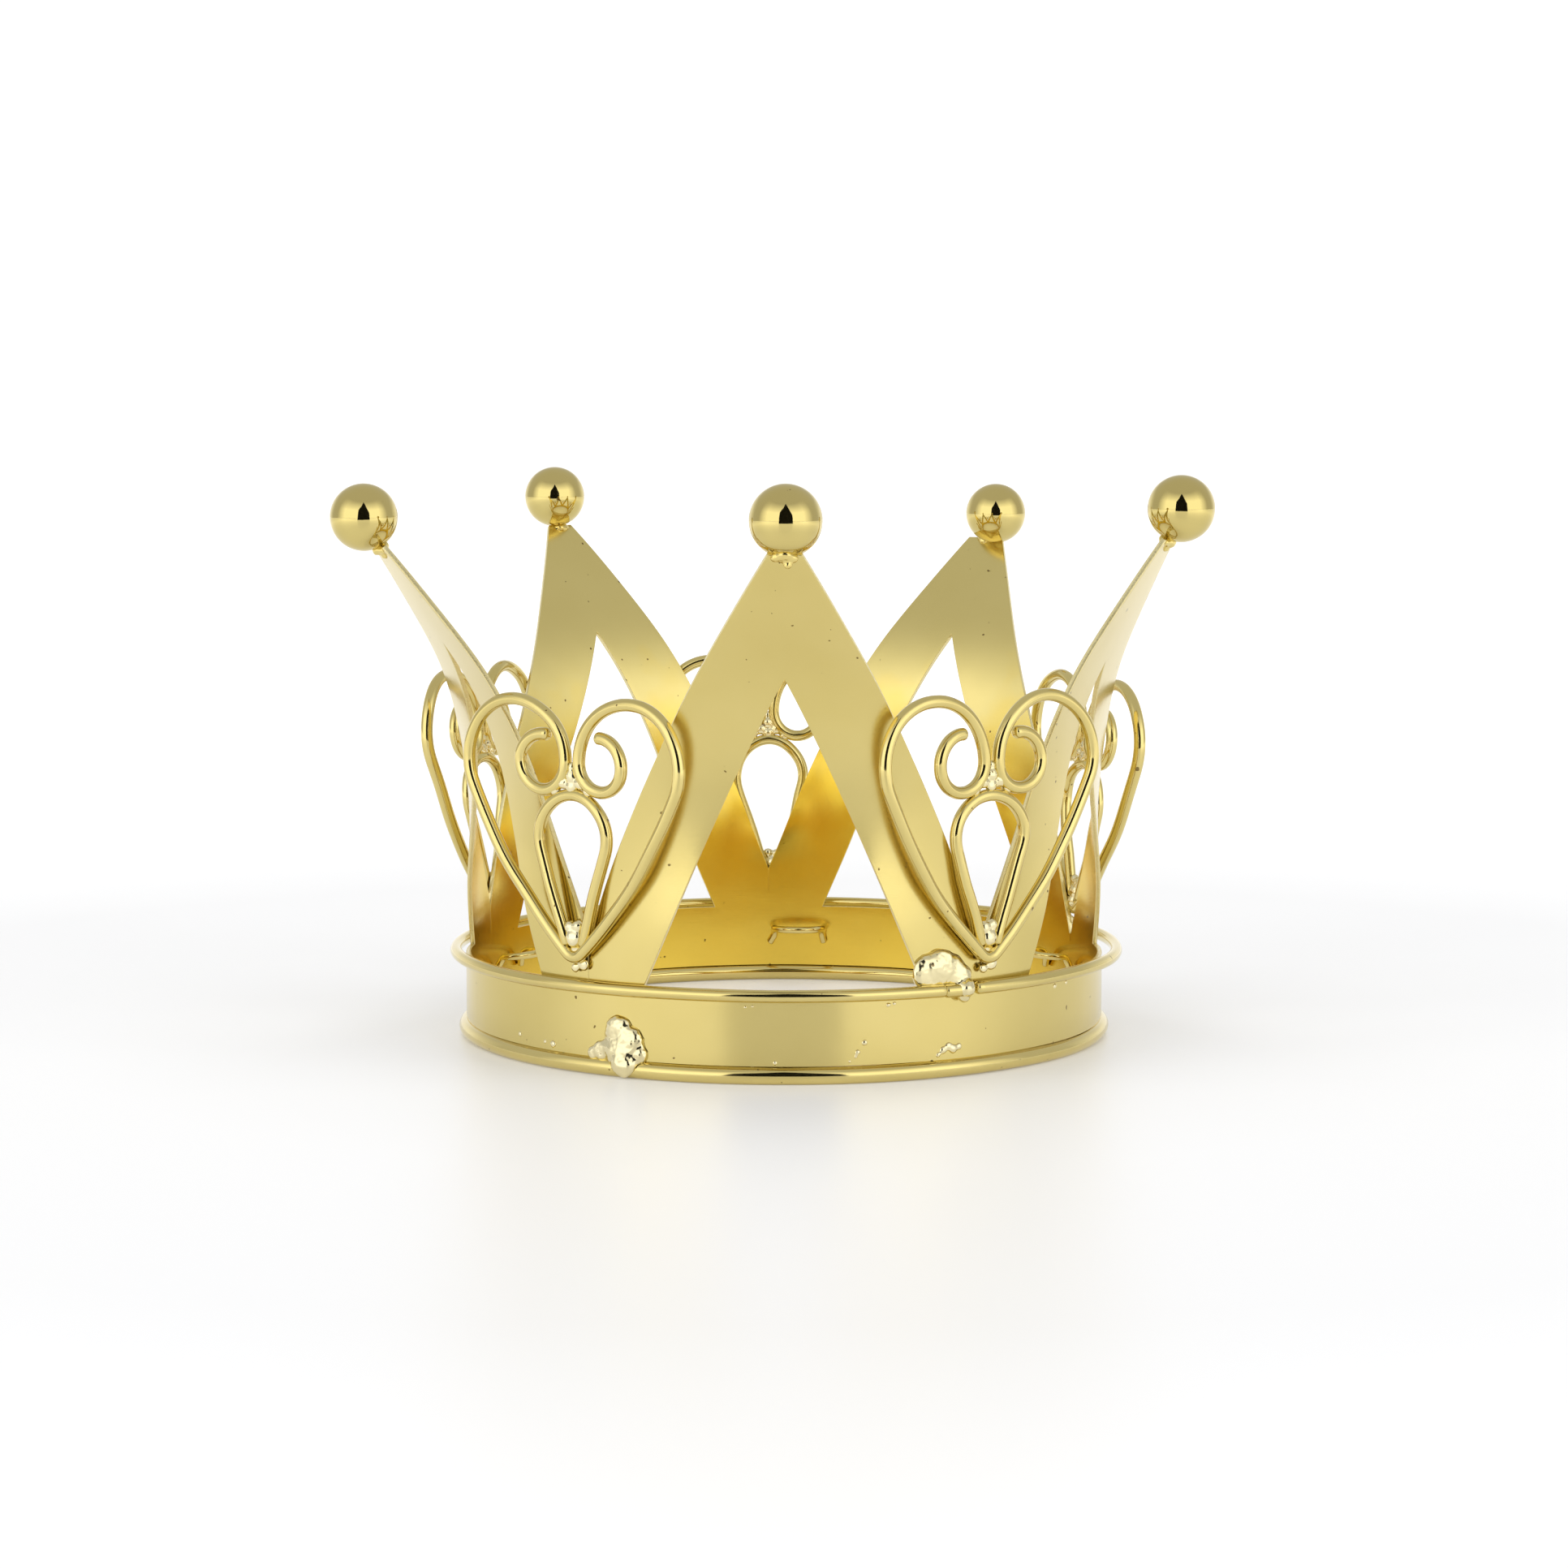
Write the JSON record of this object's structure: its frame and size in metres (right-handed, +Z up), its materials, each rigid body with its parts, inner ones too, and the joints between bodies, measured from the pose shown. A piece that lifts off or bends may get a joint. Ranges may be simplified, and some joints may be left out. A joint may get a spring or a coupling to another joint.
{
  "type": "crown",
  "caption": "Small open crown of gold-plated brass: a cut sheet band with flared A-shaped points tipped with balls, wire hearts between them and wire rings at top and bottom.",
  "frame": {"origin": "on the crown's own axis, at the level of the surface it stands on", "axes": "+Z up along the crown's axis, the front ball towards -Y, +X to the crown's side on the viewer's right"},
  "size_m": [0.1062, 0.1034, 0.0704],
  "materials": {
    "sheet": "pale gold plate over brushed sheet, satin with fine horizontal grain, cut edges bright and striated",
    "wire": "pale gold plate over drawn wire, polished, with small drawing marks and flux specks near the solder",
    "ball": "pale gold plate, mirror polished",
    "solder": "gold plated solder, lumpy and bright, with small pits"
  },
  "bodies": {
    "root": {"crown_sheet": "sheet", "bottom_ring": "wire", "top_ring": "wire", "heart_scroll_front_left": "wire", "heart_scroll_front_right": "wire", "heart_scroll_back_left": "wire", "heart_scroll_back_right": "wire", "heart_scroll_back": "wire", "heart_drop_front_left": "wire", "heart_drop_front_right": "wire", "heart_drop_back_left": "wire", "heart_drop_back_right": "wire", "heart_drop_back": "wire", "ball_front": "ball", "ball_left": "ball", "ball_right": "ball", "ball_back_left": "ball", "ball_back_right": "ball", "eyelet_front_left": "wire", "eyelet_front_right": "wire", "eyelet_back_left": "wire", "eyelet_back_right": "wire", "eyelet_back": "wire", "solder_ball_necks": "solder", "solder_heart_clefts": "solder", "solder_heart_feet": "solder", "solder_top_ring_joint": "solder", "solder_bottom_ring_joint": "solder"}
  },
  "joints": []
}
